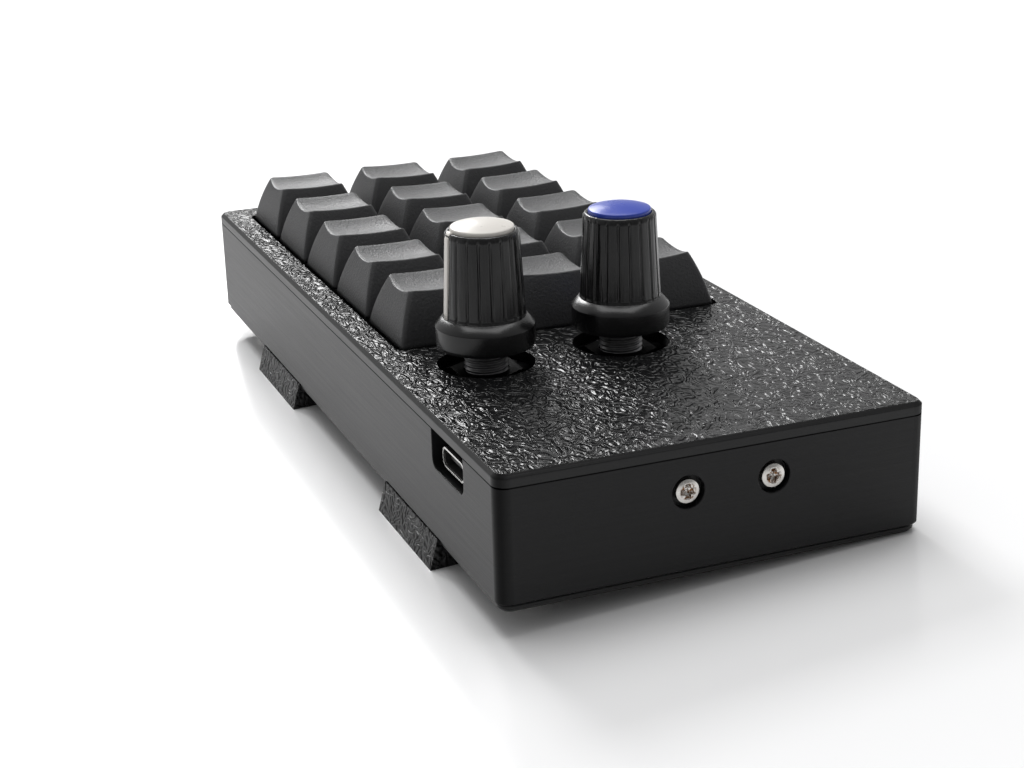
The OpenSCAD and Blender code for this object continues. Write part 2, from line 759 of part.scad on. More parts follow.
// Encoder: die-cast cover with the threaded bushing
module encoder_bushings() color([0.55, 0.55, 0.56]) place_case() at_knobs() translate([0, 0, ring_low]) difference() {
    union() {
        translate([-encoder_size / 2, -encoder_size / 2, 0]) cube([encoder_size, encoder_size, encoder_top_t]);
        cylinder(h = encoder_top_t + bushing_high, d = bushing_d);
    }
    translate([0, 0, -over]) cylinder(h = encoder_top_t + bushing_high + 2 * over, d = shaft_bore_d);
}

module encoder_washers() color([0.6, 0.6, 0.6]) place_case() at_knobs() translate([0, 0, encoder_top]) difference() {
    cylinder(h = washer_t, d = washer_d);
    translate([0, 0, -over]) cylinder(h = washer_t + 2 * over, d = bushing_d + 2 * small_fit);
}

module encoder_nuts() color([0.6, 0.6, 0.6]) place_case() at_knobs() translate([0, 0, nut_low]) difference() {
    cylinder(h = nut_high, d = nut_across / cos(30), $fn = 6);
    translate([0, 0, -over]) cylinder(h = nut_high + 2 * over, d = bushing_d + 2 * small_fit);
}

// A round bar with one flat, and the bore that fits it
module flat_bar(d, flat, high) {
    intersection() {
        cylinder(h = high, d = d);
        translate([-d, -d / 2, 0]) cube([d / 2 - flat + d, d, high]);
    }
}

module rotor(k) color([0.15, 0.15, 0.15]) place_case()
    translate([knob_x, knob_y(k), board_rise + encoder_floor + small_fit]) difference() {
        cylinder(h = rotor_high, d = rotor_d);
        translate([0, 0, -over]) flat_bar(stem_d + 2 * small_fit, stem_flat, rotor_high + 2 * over);
    }
module encoder_rotor_1() rotor(0);
module encoder_rotor_2() rotor(1);

// Shaft: a flatted stem through the rotor, a collar under the bushing and the bar up to the knob
module shaft(k) color([0.6, 0.6, 0.6]) place_case() translate([knob_x, knob_y(k), 0]) {
    stem_low = board_rise + encoder_floor - small_fit;
    translate([0, 0, stem_low]) flat_bar(stem_d, stem_flat, ring_low - collar_high - stem_low);
    translate([0, 0, ring_low - collar_high - small_fit]) cylinder(h = collar_high, d = collar_d);
    translate([0, 0, ring_low - collar_high]) cylinder(h = bushing_top - ring_low + collar_high, d = shaft_d);
    translate([0, 0, bushing_top]) flat_bar(shaft_d, shaft_flat, shaft_top - bushing_top);
}
module encoder_shaft_1() shaft(0);
module encoder_shaft_2() shaft(1);

// Moves a child to a knob's own frame: z = 0 at the skirt, the pointer along x
module at_knob(k, pointer_turn) {
    translate([knob_x, knob_y(k), knob_low]) rotate([0, 0, pointer_turn]) children();
}

// Pointer bar that follows the barrel's taper, from the cap's edge down to the bevel
module pointer_bar(extra) {
    low = skirt_high + skirt_bevel;
    foot_r = barrel_d / 2;
    head_r = barrel_top_d / 2;
    rotate([90, 0, 0]) linear_extrude(pointer_wid + 2 * extra, center = true) polygon([
        [foot_r - pointer_deep - extra, low],
        [foot_r + pointer_proud, low],
        [head_r + pointer_proud, low + barrel_high - rim_bevel],
        [head_r - rim_bevel, low + barrel_high + pointer_proud],
        [0, low + barrel_high + pointer_proud],
        [0, low + barrel_high - pointer_deep - extra],
        [head_r - pointer_deep - extra, low + barrel_high - pointer_deep - extra]
    ]);
}

// Knob: bevelled skirt, grooved barrel, seat for the coloured cap and a flatted bore
module knob(k, pointer_turn) color([0.05, 0.05, 0.05]) place_case() at_knob(k, pointer_turn) {
    low = skirt_high + skirt_bevel;
    lean = atan2((barrel_d - barrel_top_d) / 2, barrel_high);
    difference() {
        union() {
            cylinder(h = skirt_round, d1 = skirt_d - 2 * skirt_round, d2 = skirt_d);
            translate([0, 0, skirt_round]) cylinder(h = skirt_high - skirt_round, d = skirt_d);
            translate([0, 0, skirt_high]) cylinder(h = skirt_bevel, d1 = skirt_d, d2 = barrel_d);
            difference() {
                union() {
                    translate([0, 0, low]) cylinder(h = barrel_high - rim_bevel, d1 = barrel_d, d2 = barrel_top_d);
                    translate([0, 0, low + barrel_high - rim_bevel])
                        cylinder(h = rim_bevel, d1 = barrel_top_d, d2 = barrel_top_d - 2 * rim_bevel);
                }
                for (g = [0:groove_count - 1])
                    rotate([0, 0, (g + 1 / 2) * 360 / groove_count])
                        translate([barrel_d / 2 + groove_d / 2 - groove_deep, 0, low + groove_deep])
                            rotate([0, -lean, 0]) cylinder(h = barrel_high, d = groove_d, $fn = 16);
            }
        }
        translate([0, 0, -over]) cylinder(h = knob_recess_high + over, d = knob_recess_d);
        rotate([0, 0, -pointer_turn])
            flat_bar(shaft_d + 2 * small_fit, shaft_flat - small_fit, shaft_top - knob_low);
        translate([0, 0, knob_high - cap_seat_high]) cylinder(h = cap_seat_high + over, d = knob_cap_d + 2 * small_fit);
        pointer_bar(small_fit);
    }
}
// The first knob's pointer faces the back, the second knob's faces the far end
pointer_turns = [90, 0];
module knob_1() knob(0, pointer_turns[0]);
module knob_2() knob(1, pointer_turns[1]);

// Coloured cap: a disc with a low dome, and the pointer that runs down the barrel
module knob_cap(k, pointer_turn) place_case() at_knob(k, pointer_turn) {
    dome = knob_cap_rise * cap_dome_share;
    dome_r = (pow(knob_cap_d / 2, 2) + pow(dome, 2)) / (2 * dome);
    translate([0, 0, knob_high - cap_seat_high]) intersection() {
        cylinder(h = cap_seat_high + knob_cap_rise, d = knob_cap_d);
        translate([0, 0, cap_seat_high + knob_cap_rise - dome_r]) sphere(dome_r);
    }
    pointer_bar(0);
}
module knob_cap_1() color([0.87, 0.85, 0.8]) knob_cap(0, pointer_turns[0]);
module knob_cap_2() color([0.12, 0.22, 0.6]) knob_cap(1, pointer_turns[1]);

case_body();
bottom_plate();
top_cover();
foot_near();
foot_far();
switch_plate();
circuit_board();
controller_board();
controller_chips();
header_strips();
usb_shell();
usb_tongue();
end_screws();
flat_screws();
threaded_inserts();
switch_bases();
switch_tops();
key_springs();
encoder_bases();
encoder_bushings();
encoder_washers();
encoder_nuts();
encoder_rotor_1();
encoder_rotor_2();
encoder_shaft_1();
encoder_shaft_2();
knob_1();
knob_2();
knob_cap_1();
knob_cap_2();
for (place = key_places) keycap(place);
for (place = key_places) stem(place);
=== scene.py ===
"""The looks of a macro keypad with fifteen keys and two push knobs, in a printed case."""
import math

import bpy
import numpy as np
from mathutils import Matrix, Vector
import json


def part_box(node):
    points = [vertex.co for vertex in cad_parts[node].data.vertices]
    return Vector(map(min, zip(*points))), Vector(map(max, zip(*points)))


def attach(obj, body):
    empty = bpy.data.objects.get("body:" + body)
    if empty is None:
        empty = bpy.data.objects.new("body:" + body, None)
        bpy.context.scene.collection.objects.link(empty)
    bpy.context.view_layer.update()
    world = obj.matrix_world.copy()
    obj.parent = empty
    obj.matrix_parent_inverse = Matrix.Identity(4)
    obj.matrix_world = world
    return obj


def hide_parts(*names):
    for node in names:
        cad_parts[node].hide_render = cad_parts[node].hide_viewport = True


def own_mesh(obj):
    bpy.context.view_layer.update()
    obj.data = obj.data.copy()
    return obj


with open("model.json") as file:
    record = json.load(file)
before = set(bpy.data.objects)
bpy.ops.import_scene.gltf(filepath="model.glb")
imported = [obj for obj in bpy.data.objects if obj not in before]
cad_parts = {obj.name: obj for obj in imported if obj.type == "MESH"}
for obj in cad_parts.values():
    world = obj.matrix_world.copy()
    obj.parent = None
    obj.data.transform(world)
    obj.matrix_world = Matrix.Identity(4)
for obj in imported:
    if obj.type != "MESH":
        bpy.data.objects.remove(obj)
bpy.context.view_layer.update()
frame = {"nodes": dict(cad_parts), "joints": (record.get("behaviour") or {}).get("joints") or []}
bpy.context.scene.view_settings.view_transform = "Standard"

# How the case stands: it leans forward on its two rear feet, by the same lean as its keys' travel.
# In case space z = 0 is the lower edge of the walls, x runs from the knob end to the far end and
# y to the back. Sizes in this file are in metres; mm makes the millimetres of a drawing metres.
mm = 0.001
case_wid = 67 * mm
wall_high = 17.6 * mm
wall_bevel = 0.5 * mm
press_axis = next(j["axis"] for j in frame["joints"] if j["name"] == "key_middle_3_press")
lean = math.atan2(press_axis[1], -press_axis[2])
wall_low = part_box("case_body")[0]
case_y = wall_low.y + case_wid / 2 * math.cos(lean) + wall_high * math.sin(lean)
case_z = wall_low.z + (case_wid / 2 - wall_bevel) * math.sin(lean)


def in_place(points):
    """Turns points from case space by the lean about x and moves them to where the case stands."""
    x, y, z = np.moveaxis(np.asarray(points, float), -1, 0)
    turned_y = y * math.cos(lean) - z * math.sin(lean) + case_y
    turned_z = y * math.sin(lean) + z * math.cos(lean) + case_z
    return np.stack([x, turned_y, turned_z], -1)


# Camera: at the photograph's angle, near the knob end and a little to the back, with the
# picture's slight roll and a short telephoto lens.
camera_azimuth = math.radians(250.06)
camera_elevation = math.radians(20.82)
camera_roll = math.radians(-4.89)
camera_place = Vector((-298.69, 108.54, 125.88)) * mm
lens_length = 67.29
sensor_width = 36
nearest_seen = 10 * mm
furthest_seen = 20

back = Vector((
    math.sin(camera_azimuth) * math.cos(camera_elevation),
    -math.cos(camera_azimuth) * math.cos(camera_elevation),
    math.sin(camera_elevation),
))
level_right = Vector((0, 0, 1)).cross(back).normalized()
right = Matrix.Rotation(camera_roll, 3, back) @ level_right
camera_data = bpy.data.cameras.new("camera")
camera_data.lens = lens_length
camera_data.sensor_width = sensor_width
camera_data.clip_start = nearest_seen
camera_data.clip_end = furthest_seen
camera = bpy.data.objects.new("camera", camera_data)
turn = Matrix((right, back.cross(right), back)).transposed()
camera.matrix_world = Matrix.Translation(camera_place) @ turn.to_4x4()
bpy.context.scene.collection.objects.link(camera)
bpy.context.scene.camera = camera


# Shader maths: a Wire holds a socket, and sums, products and powers of wires add Math nodes.
class Wire:
    """A value, colour or vector on its way through a material's nodes."""

    def __init__(self, sheet, socket):
        self.sheet = sheet
        self.socket = socket

    def math(self, operation, *others):
        inputs = [self, *others]
        return self.sheet.node("Math", {"operation": operation}, dict(enumerate(inputs)))

    def __add__(self, other):
        return self.math("ADD", other)

    def __radd__(self, other):
        return self.math("ADD", other)

    def __sub__(self, other):
        return self.math("SUBTRACT", other)

    def __rsub__(self, other):
        return self.sheet.node("Math", {"operation": "SUBTRACT"}, {0: other, 1: self})

    def __mul__(self, other):
        return self.math("MULTIPLY", other)

    def __rmul__(self, other):
        return self.math("MULTIPLY", other)

    def __truediv__(self, other):
        return self.math("DIVIDE", other)

    def __pow__(self, other):
        return self.math("POWER", other)

    def __abs__(self):
        return self.math("ABSOLUTE")

    def sine(self):
        return self.math("SINE")

    def clamped(self):
        return self.sheet.node("Clamp", {}, {"Value": self})

    def above(self, edge, width):
        """A mask that rises from 0 to 1 over the width around the edge."""
        return ((self - edge) / width + 0.5).clamped()


class Sheet:
    """One material or world, with a single method that adds any node."""

    def __init__(self, owner):
        owner.use_nodes = True
        self.tree = owner.node_tree
        self.tree.nodes.clear()
        self.owner = owner

    def node(self, kind, settings=None, inputs=None, output=0):
        """Adds a node of a kind, with its settings first, and gives one of its outputs."""
        made = self.tree.nodes.new("ShaderNode" + kind)
        for name, value in (settings or {}).items():
            setattr(made, name, value)
        for name, value in (inputs or {}).items():
            if isinstance(value, Wire):
                self.tree.links.new(value.socket, made.inputs[name])
            else:
                made.inputs[name].default_value = value
        return Wire(self, made.outputs[output]) if made.outputs else None

    def case_point(self):
        """The point being shaded, in case space, so that patterns follow the leaning case."""
        point = self.node("TexCoord", {}, {}, "Object")
        offset = Matrix.Rotation(-lean, 3, "X") @ Vector((0, case_y, case_z))
        return self.node("Mapping", {}, {
            "Vector": point, "Rotation": (-lean, 0, 0), "Location": tuple(-offset)})

    def drawn(self, point, scale):
        """The point with its axes scaled, where less than 1 draws a pattern out along an axis."""
        return self.node("Mapping", {}, {"Vector": point, "Scale": scale})

    def split(self, point):
        """The three coordinates of a point as wires."""
        return [self.node("SeparateXYZ", {}, {"Vector": point}, axis) for axis in ("X", "Y", "Z")]

    def noise(self, point, size, detail=3, rough=0.6, warp=0.0):
        """Smooth noise from 0 to 1 whose features are about the given size across."""
        return self.node("TexNoise", {}, {
            "Vector": point, "Scale": 1 / size, "Detail": detail, "Roughness": rough, "Distortion": warp})

    def mixed(self, mask, low, high):
        """A colour between low and high by the mask."""
        low = low if isinstance(low, Wire) else (*low, 1)
        high = high if isinstance(high, Wire) else (*high, 1)
        return self.node("Mix", {"data_type": "RGBA"}, {"Factor": mask, 6: low, 7: high}, 2)

    def bump(self, height, deep, normal=None):
        """A normal that tilts with the height, whose full range is deep."""
        inputs = {"Height": height, "Distance": deep}
        if normal is not None:
            inputs["Normal"] = normal
        return self.node("Bump", {}, inputs)

    def soft_edges(self, radius):
        """A normal that rounds the sharp edges of a moulded or printed solid."""
        return self.node("Bevel", {"samples": 6}, {"Radius": radius})

    def finish(self, colour, rough, normal=None, metal=0.0, dark=None, more=None):
        """Ends the material in one principled surface, and in a black that mirrors nothing where
        the mask dark is 1. more holds values for the surface's other sockets."""
        inputs = {"Roughness": rough, "Metallic": metal, **(more or {})}
        inputs["Base Color"] = colour if isinstance(colour, Wire) else (*colour, 1)
        if normal is not None:
            inputs["Normal"] = normal
        surface = self.node("BsdfPrincipled", {}, inputs)
        if dark is not None:
            black = self.node("BsdfPrincipled", {}, {
                "Base Color": (0, 0, 0, 1), "Roughness": 1, "Specular IOR Level": 0})
            surface = self.node("MixShader", {}, {0: dark, 1: surface, 2: black})
        self.node("OutputMaterial", {}, {"Surface": surface})
        return self.owner


def new_sheet(name):
    """A material with no nodes yet."""
    return Sheet(bpy.data.materials.new(name))


# Studio: a white table that mirrors a little, a big soft light overhead, a bright window and a
# higher lamp beyond the far keys, and a room that is dark on the camera's side.
table_size = 6
table_white = (0.93, 0.93, 0.935)
table_rough = 0.19
table_shine = 0.45
lamp_aim = Vector((0, 0, 0.02))
room_bright = 0.55
room_dim = 0.2
bright_way = (0.97, -0.2)
room_contrast = 0.7
room_middle = 0.62


def soft_box(name, place, wide, high, power):
    """A rectangular lamp at a place, turned to the keypad."""
    lamp = bpy.data.lights.new(name, "AREA")
    lamp.shape = "RECTANGLE"
    lamp.size = wide
    lamp.size_y = high
    lamp.energy = power
    holder = bpy.data.objects.new(name, lamp)
    turned_to = (lamp_aim - Vector(place)).to_track_quat("-Z", "Y").to_matrix().to_4x4()
    holder.matrix_world = Matrix.Translation(place) @ turned_to
    bpy.context.scene.collection.objects.link(holder)


soft_box("lamp_over", (0.2, -0.14, 0.95), wide=0.9, high=0.8, power=6.3)
soft_box("lamp_window", (0.98, -0.1, 0.48), wide=0.42, high=0.36, power=3.2)
soft_box("lamp_high", (0.85, 0.02, 0.66), wide=0.3, high=0.25, power=4)

room = bpy.data.worlds.new("room")
bpy.context.scene.world = room
air = Sheet(room)
to_far, to_back = air.split(air.node("TexCoord", {}, {}, "Generated"))[:2]
heading = to_far * bright_way[0] + to_back * bright_way[1]
glow = room_dim + (room_bright - room_dim) * (heading * room_contrast + room_middle).clamped()
sky = air.node("Background", {}, {"Color": (1, 1, 1, 1), "Strength": glow})
air.node("OutputWorld", {}, {"Surface": sky})

half_table = table_size / 2
table_corners = [(x * half_table, y * half_table, 0) for x, y in ((-1, -1), (1, -1), (1, 1), (-1, 1))]
table_mesh = bpy.data.meshes.new("table")
table_mesh.from_pydata(table_corners, [], [(0, 1, 2, 3)])
table = bpy.data.objects.new("table", table_mesh)
bpy.context.scene.collection.objects.link(table)
sheet = new_sheet("table_white")
table_mesh.materials.append(sheet.finish(table_white, table_rough, more={"Specular IOR Level": table_shine}))


# Case body: printed in black, in thin layers that show as fine level lines on the walls. The joint
# with the cover is darker, and shade is painted on its upright corners, which are mixed towards a
# black that mirrors nothing. It stays the CAD node; its edges are softened and its layers are a bump
# across the height.
case_len = 157 * mm
print_edge = 0.25 * mm
layer_high = 0.2 * mm
layer_deep = 0.03 * mm
line_swing = 0.25
line_share = 0.3
streak_share = 1.2
streak_high = 0.7 * mm
streak_drawn = (0.02, 0.02, 1)
seam_half = 0.17 * mm
corner_round = 3 * mm
# How strongly shade is painted on the upright corners.
corner_painted_shade = 0.6
black_print = (0.007, 0.0071, 0.0076)
print_spread = 0.5
wall_rough = 0.24
wall_rough_spread = 0.12
wall_shine = 0.26


def paint(nodes, material):
    """Gives CAD nodes a material in place of their plain ones."""
    for name in nodes:
        mesh = frame["nodes"][name].data
        mesh.materials.clear()
        mesh.materials.append(material)


def shaded(colour, share):
    """The colour with its light multiplied by a share."""
    return tuple(share * part for part in colour)


def seam(height):
    """The dark joint line where the top cover sits on the walls."""
    return 1 - (abs(height - wall_high) / seam_half).clamped()


def at_corner(sheet, point):
    """A mask for the upright corners, where shade is painted: they are made darker than the walls."""
    x, y = sheet.split(point)[:2]
    near_end = abs(x).above(case_len / 2 - corner_round / 2, corner_round / 2)
    near_side = abs(y).above(case_wid / 2 - corner_round / 2, corner_round / 2)
    return near_end * near_side


def wall_looks(sheet, point):
    """A wall's layer lines, its roughness and its dark mask, which holds the dark joint under the cover
    and the painted shade of the upright corners. The lines are a sine over the height, broken up by
    noise that is drawn out along the walls."""
    height = sheet.split(point)[2]
    lines = (height * (2 * math.pi / layer_high)).sine() * line_swing + 0.5
    streaks = sheet.noise(sheet.drawn(point, streak_drawn), streak_high, detail=4, rough=0.75)
    ridges = lines * line_share + streaks * streak_share
    rough = wall_rough + ridges * wall_rough_spread
    # The dark mask: the joint under the cover, and painted shade on the upright corners.
    dark = (seam(height) + at_corner(sheet, point) * corner_painted_shade).clamped()
    return ridges, rough, dark


def printed(name):
    """A printed black surface with layer lines, a dark joint under the cover and painted shade on the
    upright corners.
    """
    sheet = new_sheet(name)
    ridges, rough, dark = wall_looks(sheet, sheet.case_point())
    darker, lighter = shaded(black_print, 1 - print_spread), shaded(black_print, 1 + print_spread)
    shade = sheet.mixed(ridges.clamped(), darker, lighter)
    normal = sheet.bump(ridges, layer_deep, sheet.soft_edges(print_edge))
    return sheet.finish(shade, rough, normal, dark=dark, more={"Specular IOR Level": wall_shine})


paint(["case_body"], printed("body_print"))


# Top cover, bottom plate and feet: printed face down on a textured bed, which leaves a grain of
# small crinkles on the outer face. The rims and the sides stay smooth, with layer lines.
cover_top = 19.6 * mm
plate_face = -1 * mm
rim = 0.05 * mm
grain_size = 2.1 * mm
grain_bands = 4
grain_warp = 0.9
grain_drawn = (0.65, 1, 1)
grain_deep = 0.3 * mm
fine_grain = 0.4 * mm
band_share = 0.85
fine_share = 0.2
grain_gloss = 0.2
grain_shine = 0.36
foot_gloss = 0.35
foot_grain_deep = 1.2 * grain_deep


def crinkled(sheet, point):
    """Crinkles: the bands of a warped noise, drawn out along the case, with finer noise on top."""
    broad = sheet.noise(sheet.drawn(point, grain_drawn), grain_size, detail=1, rough=0.5, warp=grain_warp)
    bands = (broad * (2 * math.pi * grain_bands)).sine() * 0.5 + 0.5
    fine = sheet.noise(point, fine_grain, detail=2)
    return bands * band_share + fine * fine_share


def grainy(name, textured, gloss=grain_gloss, deep=grain_deep):
    """A printed black surface that is grainy where textured(height) is 1, and a wall elsewhere."""
    sheet = new_sheet(name)
    point = sheet.case_point()
    mask = textured(sheet.split(point)[2])
    ridges, side_rough, dark = wall_looks(sheet, point)
    lines = sheet.bump(ridges * (1 - mask), layer_deep, sheet.soft_edges(print_edge))
    normal = sheet.bump(crinkled(sheet, point) * mask, deep, lines)
    rough = side_rough * (1 - mask) + mask * gloss
    # Off the grain it keeps the walls' dark joint and the painted shade of their corners.
    return sheet.finish(
        black_print, rough, normal, dark=dark * (1 - mask), more={"Specular IOR Level": grain_shine})


paint(["top_cover"], grainy("cover_grain", lambda height: height.above(cover_top - rim, rim)))
paint(["bottom_plate"], grainy("plate_grain", lambda height: 1 - height.above(plate_face + rim, rim)))
foot_finish = grainy("foot_grain", lambda height: height * 0 + 1, foot_gloss, foot_grain_deep)
paint(["foot_near", "foot_far"], foot_finish)


# Keycaps: moulded in dark grey, matt, with sides that bulge and a top dished along the column.
# Each row leans its own way. They are hollow, and closed round the switch's stem.
key_pitch = 19.05 * mm
first_key_in = 64.9 * mm
column_count = 5
row_leans = {"back": math.radians(1), "middle": math.radians(2), "front": math.radians(-2)}
board_top = 9.2 * mm
skirt_rise = 10.1 * mm
cap_base = 17.6 * mm
cap_top = np.array([10.9, 11.8]) * mm
cap_high = 8.7 * mm
cap_wall = 1.2 * mm
cap_ceiling = 6.7 * mm
cap_lip = 0.12 * mm
straight_share = 0.55
dish_deep = 1.0 * mm
dish_across = 0.3 * mm
base_round = 0.7 * mm
top_round = 0.8 * mm
inner_round = 0.3 * mm
edge_round = 0.17 * mm
edge_drop = 1.4 * edge_round
roof_rings = (0.3, 0.7, 1)
under_roof = 0.97
wall_rings = 6
side_rings = 16
edge_rings = 8
dish_rings = 11
cap_dark = (0.018, 0.0183, 0.02)
cap_pale = (0.032, 0.0325, 0.0345)
cap_rough = 0.42
cap_rough_spread = 0.1
cap_coat = 0.15
cap_coat_rough = 0.28
cap_grain = 0.45 * mm
cap_grain_deep = 0.13 * mm
cap_wear = 5 * mm


def skin(name, rows, body, material, replaces):
    """A closed mesh from rows of points that run round the piece, with a point at each end.

    The rows climb so that the solid lies to the left of the way they take in a half section. A
    list holds several such pieces for one mesh."""
    shells = rows if isinstance(rows, list) else [rows]
    points = []
    faces = []
    for shell in shells:
        start = sum(len(p) for p in points)
        count, around = shell.shape[:2]
        points.append(shell.reshape(-1, 3))
        points.append(np.stack([shell[0].mean(0), shell[-1].mean(0)]))
        index = start + np.arange(count * around).reshape(count, around)
        beside = np.roll(index, -1, 1)
        quads = np.stack([index[:-1], beside[:-1], beside[1:], index[1:]], -1).reshape(-1, 4)
        first, last = start + count * around, start + count * around + 1
        low = np.stack([np.full(around, first), beside[0], index[0]], -1)
        high = np.stack([index[-1], beside[-1], np.full(around, last)], -1)
        faces += quads.tolist() + low.tolist() + high.tolist()
    mesh = bpy.data.meshes.new(name)
    mesh.from_pydata(np.concatenate(points).tolist(), [], faces)
    mesh.polygons.foreach_set("use_smooth", np.full(len(mesh.polygons), True))
    mesh.materials.append(material)
    mesh.validate()
    piece = bpy.data.objects.new(name, mesh)
    bpy.context.scene.collection.objects.link(piece)
    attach(piece, body)
    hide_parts(*replaces)
    return piece


def at_key(row, column, height):
    """A key's place in case space, at a height over the walls' lower edge."""
    return np.array([first_key_in - case_len / 2 + column * key_pitch, (1 - row) * key_pitch, height])


def round_square(corner_points=7, side_points=14):
    """Columns of a square with round corners: the corner each leans to, and its direction there."""
    quarter = np.linspace(0, math.pi / 2, corner_points)
    along = np.linspace(-1, 1, side_points + 2)[1:-1]
    signs = [(1, 1), (-1, 1), (-1, -1), (1, -1)]
    reach_x, reach_y, angle = [], [], []
    for k, (sx, sy) in enumerate(signs):
        reach_x += [sx] * corner_points
        reach_y += [sy] * corner_points
        angle += list(quarter + k * math.pi / 2)
        after = signs[(k + 1) % 4]
        side = (along + 1) / 2
        reach_x += list(sx + (after[0] - sx) * side)
        reach_y += list(sy + (after[1] - sy) * side)
        angle += [(k + 1) * math.pi / 2] * side_points
    return np.array(reach_x), np.array(reach_y), np.cos(angle), np.sin(angle)


def curved(start, middle, end, t):
    """A point of the quadratic curve that leaves start and reaches end, each aimed at middle."""
    return (1 - t) ** 2 * start + 2 * t * (1 - t) * middle + t ** 2 * end


def keycap_rows(turn):
    """Rows of one keycap: up inside the hollow's roof and down its wall, round the lip, up the
    side and over the edge to the middle of the dish. The side's inset grows with the height h as
    s h + (1 - s) h^2, where s is the straight share, and the dish is a circle across x, leant
    with the row."""
    reach_x, reach_y, cos, sin = round_square()
    half_top = cap_top / 2
    dish_r = (half_top[0] ** 2 + dish_deep ** 2) / (2 * dish_deep)

    def dish(x, y):
        sag = np.sqrt(dish_r ** 2 - x ** 2) - math.sqrt(dish_r ** 2 - half_top[0] ** 2)
        across = dish_across * np.clip(1 - (y / half_top[1]) ** 2, 0, 1)
        return cap_high + y * math.tan(turn) - sag - across

    def outline(share, wall):
        inset = straight_share * share + (1 - straight_share) * share ** 2
        radius = base_round + inset * (top_round - base_round)
        half_x = cap_base / 2 + inset * (half_top[0] - cap_base / 2) - wall
        half_y = cap_base / 2 + inset * (half_top[1] - cap_base / 2) - wall
        return half_x, half_y, np.maximum(radius - wall, inner_round)

    def ring(share, wall=0.0, draw_in=0.0):
        half_x, half_y, radius = outline(share, wall)
        x = reach_x * (half_x - radius) + cos * (radius - draw_in)
        y = reach_y * (half_y - radius) + sin * (radius - draw_in)
        return x, y

    def level_row(x, y, height):
        return np.stack([x, y, np.full_like(x, height)], -1)

    rows = []
    roof = cap_ceiling / cap_high
    roof_x, roof_y = ring(np.full_like(cos, roof), cap_wall)
    for scale in roof_rings:
        rows.append(level_row(roof_x * scale, roof_y * scale, cap_ceiling))
    for share in np.linspace(roof * under_roof, 0, wall_rings):
        rows.append(level_row(*ring(np.full_like(cos, share), cap_wall), share * cap_high))
    rows.append(level_row(*ring(np.zeros_like(cos), 0, cap_lip), 0))

    rim_z = dish(*ring(np.ones_like(cos)))
    side_end = rim_z - edge_drop
    for share in np.linspace(0, 1, side_rings):
        z = cap_lip + share * (side_end - cap_lip)
        rows.append(np.stack([*ring(z / cap_high), z], -1))
    side = rows[-1]
    edge = np.stack([*ring(rim_z / cap_high), rim_z], -1)
    flat_x, flat_y = ring(rim_z / cap_high, 0, edge_round)
    flat = np.stack([flat_x, flat_y, dish(flat_x, flat_y)], -1)
    for t in np.linspace(0, 1, edge_rings)[1:]:
        rows.append(curved(side, edge, flat, t))
    for scale in np.linspace(1, 0, dish_rings)[1:-1]:
        x, y = flat_x * scale, flat_y * scale
        rows.append(np.stack([x, y, dish(x, y)], -1))
    return np.array(rows)


sheet = new_sheet("keycap_grey")
point = sheet.case_point()
fine = sheet.noise(point, cap_grain, rough=0.7)
worn = sheet.noise(point, cap_wear)
keycap_grey = sheet.finish(
    sheet.mixed(worn, cap_dark, cap_pale), cap_rough + worn * cap_rough_spread,
    sheet.bump(fine, cap_grain_deep), more={"Coat Weight": cap_coat, "Coat Roughness": cap_coat_rough})

for row, (row_name, row_lean) in enumerate(row_leans.items()):
    for column in range(column_count):
        tag = f"{row_name}_{column + 1}"
        rows = in_place(keycap_rows(row_lean) + at_key(row, column, board_top + skirt_rise))
        skin(f"cap_{tag}", rows, f"key_{tag}", keycap_grey, [f"keycap_{tag}"])


# Knobs: black moulded plastic with a bevelled skirt and a barrel with twenty grooves. A coloured
# cap sits in the top and carries a pointer down the side.
knobs_in = 44.5 * mm
knob_x = knobs_in - case_len / 2
knob_y = [17.8 * mm, -5.2 * mm]
pointer_turns = [math.pi / 2, 0]
knob_lift = 3.1 * mm
knob_low = cover_top + knob_lift
skirt_r = 7.8 * mm
skirt_foot = 0.5 * mm
skirt_high = 3.3 * mm
bevel_high = 1.4 * mm
barrel_low = skirt_high + bevel_high
barrel_low_r = 6.45 * mm
barrel_top_r = 5.75 * mm
barrel_high = 13.6 * mm
barrel_rings = 22
barrel_step = 0.12 * mm
over_step = 0.02 * mm
knob_high = barrel_low + barrel_high
groove_count = 20
groove_steps = 20
groove_half = 0.25 * mm
groove_deep = 0.26 * mm
groove_start = 0.15 * mm
groove_run_out = 0.35 * mm
groove_end = 0.5 * mm
groove_fade = 0.3 * mm
rim_round = 0.4 * mm
rim_in = 0.8 * rim_round
crown_round = 0.15 * mm
knob_round = 0.1 * mm
seat_r = 5.0 * mm
seat_deep = 1.4 * mm
recess_r = 5.5 * mm
recess_high = 1.9 * mm
pole_r = 0.5 * mm
knob_black_colour = (0.006, 0.006, 0.0065)
knob_grain = 0.25 * mm
knob_smudge = 3 * mm
knob_streak = 0.9 * mm
knob_streak_drawn = (1, 1, 0.03)
knob_streak_deep = 0.22 * mm
knob_streak_share = 0.9
knob_grain_share = 0.04
knob_rough = 0.17
knob_rough_spread = 0.12
streak_low = 0.1 * mm
streak_fade = 0.2 * mm


def rounded_path(corners, radius, steps=5, room=2.2):
    """A path through corners (r, z), each rounded by a short curve that stays inside it. A side
    over the room is the most of it that a curve takes, so that two curves never meet."""
    corners = np.array(corners, float)
    path = [corners[0]]
    for before, corner, after in zip(corners[:-2], corners[1:-1], corners[2:]):
        to_before, to_after = before - corner, after - corner
        length_before, length_after = np.linalg.norm(to_before), np.linalg.norm(to_after)
        reach = min(radius, length_before / room, length_after / room)
        start = corner + to_before / length_before * reach
        end = corner + to_after / length_after * reach
        path += [curved(start, corner, end, t) for t in np.linspace(0, 1, steps)]
    path.append(corners[-1])
    return np.array(path)


